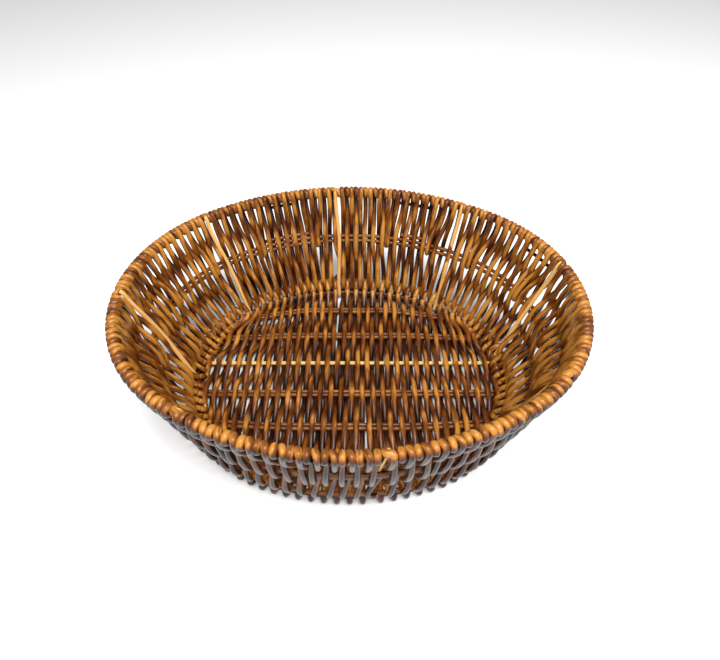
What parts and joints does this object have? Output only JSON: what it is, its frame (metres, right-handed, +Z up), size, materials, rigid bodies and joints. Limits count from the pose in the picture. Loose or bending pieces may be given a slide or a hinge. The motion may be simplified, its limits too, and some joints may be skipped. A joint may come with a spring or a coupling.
{
  "type": "bread basket",
  "caption": "Shallow oval basket of woven cane on a hoop-and-rib frame, with a flared wall, a bound rim and a flat woven floor.",
  "frame": {"origin": "centre of the basket's outline, on the surface it stands on", "axes": "+Z up, out of the basket's open mouth; +X along the long axis of the oval, +Y along its short axis"},
  "size_m": [0.2803, 0.2312, 0.0862],
  "materials": {
    "weaving_cane": "satin brown round cane, mottled from golden tan to dark chocolate along its length",
    "hoop_rod": "satin brown round rod",
    "rib_wire": "plain light tan coated wire",
    "rim_core": "dark coated steel wire, hidden in the rim binding"
  },
  "bodies": {
    "root": {"base_ring": "hoop_rod", "end_loops_left": "weaving_cane", "end_loops_right": "weaving_cane", "floor_canes_high_at_back": "weaving_cane", "floor_canes_low_at_back": "weaving_cane", "floor_centre_wire": "rib_wire", "floor_rod_1_back": "hoop_rod", "floor_rod_1_front": "hoop_rod", "floor_rod_2_back": "hoop_rod", "floor_rod_2_front": "hoop_rod", "floor_rod_4_back": "hoop_rod", "floor_rod_4_front": "hoop_rod", "floor_rod_5_back": "hoop_rod", "floor_rod_5_front": "hoop_rod", "floor_rod_6_back": "hoop_rod", "floor_rod_6_front": "hoop_rod", "frame_rib_back": "rib_wire", "frame_rib_back_left": "rib_wire", "frame_rib_back_right": "rib_wire", "frame_rib_front": "rib_wire", "frame_rib_front_left": "rib_wire", "frame_rib_front_right": "rib_wire", "frame_rib_left": "rib_wire", "frame_rib_right": "rib_wire", "lower_hoop": "hoop_rod", "middle_hoop_lower": "hoop_rod", "middle_hoop_splice_left": "hoop_rod", "middle_hoop_splice_right": "hoop_rod", "middle_hoop_upper": "hoop_rod", "rim_core_hoop": "rim_core", "short_wall_canes": "weaving_cane", "tucked_cane_tails": "weaving_cane", "wall_canes_inner_bay_1": "weaving_cane", "wall_canes_inner_bay_2": "weaving_cane", "wall_canes_inner_bay_3": "weaving_cane", "wall_canes_inner_bay_4": "weaving_cane", "wall_canes_inner_bay_5": "weaving_cane", "wall_canes_inner_bay_6": "weaving_cane", "wall_canes_inner_bay_7": "weaving_cane", "wall_canes_inner_bay_8": "weaving_cane", "wall_canes_outer_bay_1": "weaving_cane", "wall_canes_outer_bay_2": "weaving_cane", "wall_canes_outer_bay_3": "weaving_cane", "wall_canes_outer_bay_4": "weaving_cane", "wall_canes_outer_bay_5": "weaving_cane", "wall_canes_outer_bay_6": "weaving_cane", "wall_canes_outer_bay_7": "weaving_cane", "wall_canes_outer_bay_8": "weaving_cane"}
  },
  "joints": []
}
